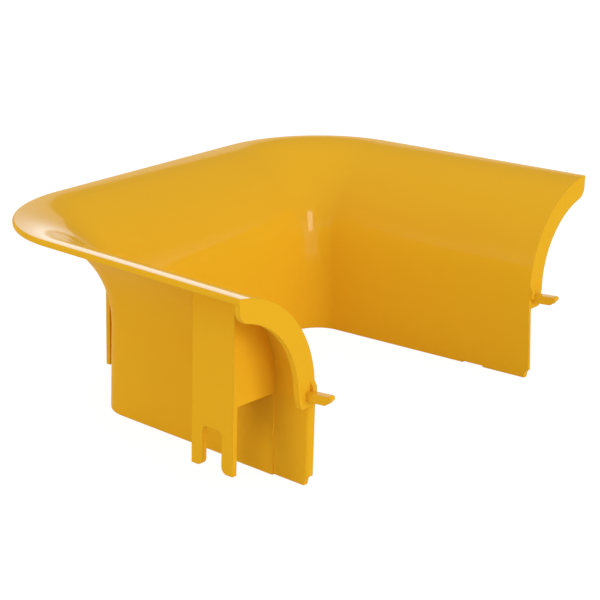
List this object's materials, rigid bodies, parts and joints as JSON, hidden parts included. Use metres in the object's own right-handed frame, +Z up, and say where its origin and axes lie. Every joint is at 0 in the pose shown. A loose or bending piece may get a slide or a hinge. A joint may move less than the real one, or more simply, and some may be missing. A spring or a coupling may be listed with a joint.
{
  "type": "fibre raceway trumpet exit fitting",
  "caption": "U-shaped flared exit fitting for a fibre raceway: a thin wall open at one side, rolled outwards at the top into a wide bend-radius lip, with hooked brackets and end tongues.",
  "frame": {"origin": "middle of the bounding box in plan, on the plane of the wall's foot", "axes": "+Z up out of the flared mouth, +X out of the open side, +Y along the web from one leg to the other"},
  "size_m": [0.1448, 0.1922, 0.0719],
  "materials": {
    "yellow_plastic": "semi-gloss moulded"
  },
  "bodies": {
    "root": {"flared_fitting": "yellow_plastic"}
  },
  "joints": []
}
